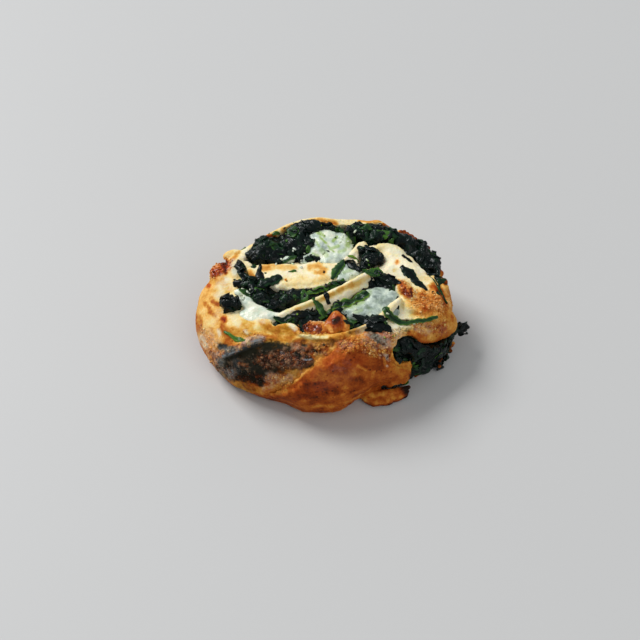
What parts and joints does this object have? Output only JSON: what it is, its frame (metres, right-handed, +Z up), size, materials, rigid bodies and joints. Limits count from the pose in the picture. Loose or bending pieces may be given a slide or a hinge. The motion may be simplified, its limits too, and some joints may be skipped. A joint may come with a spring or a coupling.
{
  "type": "spinach pinwheel pastry",
  "caption": "Oval baked pinwheel of rolled dough with a winding of dark spinach and white cheese, a toasted knob, and the loose end of the dough lapped over the front.",
  "frame": {"origin": "on the surface that the pastry rests on, under the middle of its box", "axes": "+Z up, +X to the right along the pastry's longest side, -Y towards the front, where the loose end of the dough laps over the wall"},
  "size_m": [0.1252, 0.0944, 0.0366],
  "materials": {
    "crust": "baked yeast dough, golden to brown",
    "spinach": "cooked spinach, moist and nearly black green",
    "cheese": "soft white cheese, melted and moist",
    "toasted": "dough toasted brown with a burnt spot"
  },
  "bodies": {
    "root": {"dough_roll": "crust", "dough_flap": "crust", "dough_tail": "crust", "spinach_spiral": "spinach", "spinach_front": "spinach", "spinach_left": "spinach", "spinach_right": "spinach", "spinach_tuft": "spinach", "cheese_back": "cheese", "cheese_core": "cheese", "cheese_right": "cheese", "cheese_left": "cheese", "toasted_knob": "toasted"}
  },
  "joints": []
}
